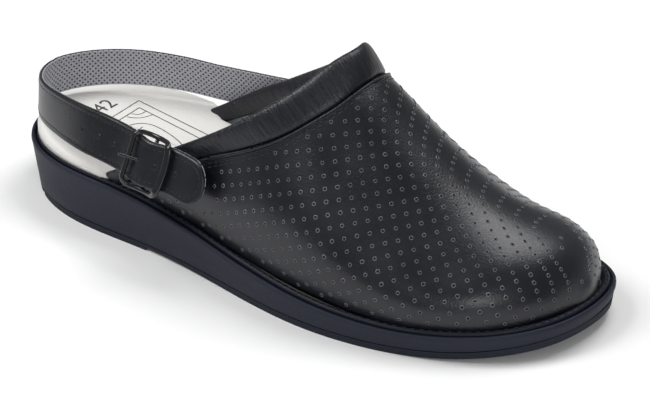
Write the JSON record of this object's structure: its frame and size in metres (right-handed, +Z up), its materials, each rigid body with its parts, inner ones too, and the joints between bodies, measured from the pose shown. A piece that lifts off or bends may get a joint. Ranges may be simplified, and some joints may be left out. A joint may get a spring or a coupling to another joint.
{
  "type": "closed-toe clog with heel strap",
  "caption": "Right-foot leather clog: moulded wedge sole, perforated closed toe, padded collar and a heel strap that swings on side rivets and fastens with a prong buckle.",
  "frame": {"origin": "centre of the bounding box in plan, on the ground under the sole", "axes": "+X to the toe, +Y to the inner (medial) side of the foot, +Z up; the shoe stands on its heel and forefoot tread at z = 0"},
  "size_m": [0.2912, 0.115, 0.1058],
  "materials": {
    "sole_rubber": "matte",
    "sole_foam": "matte, finely mottled",
    "welt": "satin",
    "board": "matte fibre board",
    "shank": "brushed",
    "footbed_foam": "matte foam",
    "footbed_skin": "smooth, printed size and line pattern",
    "navy_leather": "soft satin",
    "lining_leather": "matte",
    "stiffener": "matte",
    "collar_leather": "soft, finely wrinkled",
    "padding": "soft foam",
    "strap_lining_leather": "matte, perforated",
    "buckle_lacquer": "gloss black",
    "bright_steel": "satin"
  },
  "bodies": {
    "shoe": {"tread_sole": "sole_rubber", "midsole_wedge": "sole_foam", "welt_strip": "welt", "insole_board": "board", "steel_shank": "shank", "footbed_core": "footbed_foam", "footbed_cover": "footbed_skin", "vamp_outer": "navy_leather", "vamp_lining": "lining_leather", "toe_puff": "stiffener", "collar_cover": "collar_leather", "collar_foam": "padding"},
    "strap": {"strap_leather": "navy_leather", "strap_lining": "strap_lining_leather", "buckle_chape": "navy_leather", "chape_rivet": "bright_steel", "strap_rivet": "bright_steel", "chape_rivet_washer": "bright_steel", "strap_rivet_washer": "bright_steel"},
    "buckle": {"buckle_frame": "buckle_lacquer"},
    "prong": {"buckle_prong": "bright_steel"}
  },
  "joints": [
    {"name": "strap_swing", "type": "hinge", "parent": "shoe", "child": "strap", "pos_m": [-0.02707, 0.00113, 0.047], "axis": [0, 1, 0], "range_deg": [0, 50]},
    {"name": "buckle_tilt", "type": "hinge", "parent": "strap", "child": "buckle", "pos_m": [-0.04507, -0.04698, 0.04914], "axis": [0.0872, 0.4052, 0.9101], "range_deg": [-2, 2]},
    {"name": "prong_lift", "type": "hinge", "parent": "buckle", "child": "prong", "pos_m": [-0.04507, -0.04698, 0.04914], "axis": [0.0872, 0.4052, 0.9101], "range_deg": [0, 8]}
  ]
}
